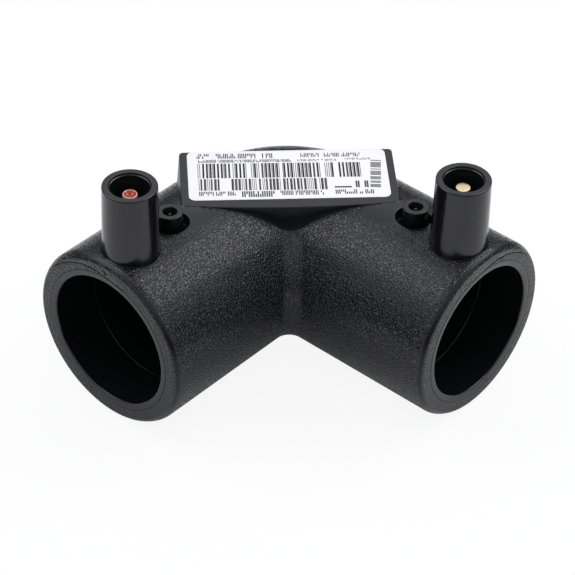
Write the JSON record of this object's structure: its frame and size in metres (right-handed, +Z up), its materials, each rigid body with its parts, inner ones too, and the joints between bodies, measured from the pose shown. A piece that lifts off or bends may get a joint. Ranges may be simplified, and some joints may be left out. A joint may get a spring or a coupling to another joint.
{
  "type": "electrofusion elbow",
  "caption": "Black 90 degree electrofusion elbow with two sockets, a labelled plate across the corner, terminal shrouds with contact pins and small fusion indicator bosses.",
  "frame": {"origin": "bottom centre of the bounding box, under the corner between the two sockets", "axes": "+X out of the right socket, -Y out of the left socket, +Z up along the terminal shrouds"},
  "size_m": [0.0804, 0.0804, 0.0599],
  "materials": {
    "body": "spark-eroded black polyethylene, smoother on the shrouds and the plate",
    "wire": "resistance wire in its thin black polyethylene coat",
    "marked_pin": "brass contact with a thin red mark",
    "pin": "bare turned brass",
    "indicator": "black polyethylene",
    "label": "white satin sticker"
  },
  "bodies": {
    "root": {"elbow_body": "body", "heating_wire": "wire", "terminal_pin_left": "marked_pin", "terminal_pin_right": "pin", "indicator_pin_left": "indicator", "indicator_pin_right": "indicator", "label": "label"}
  },
  "joints": []
}
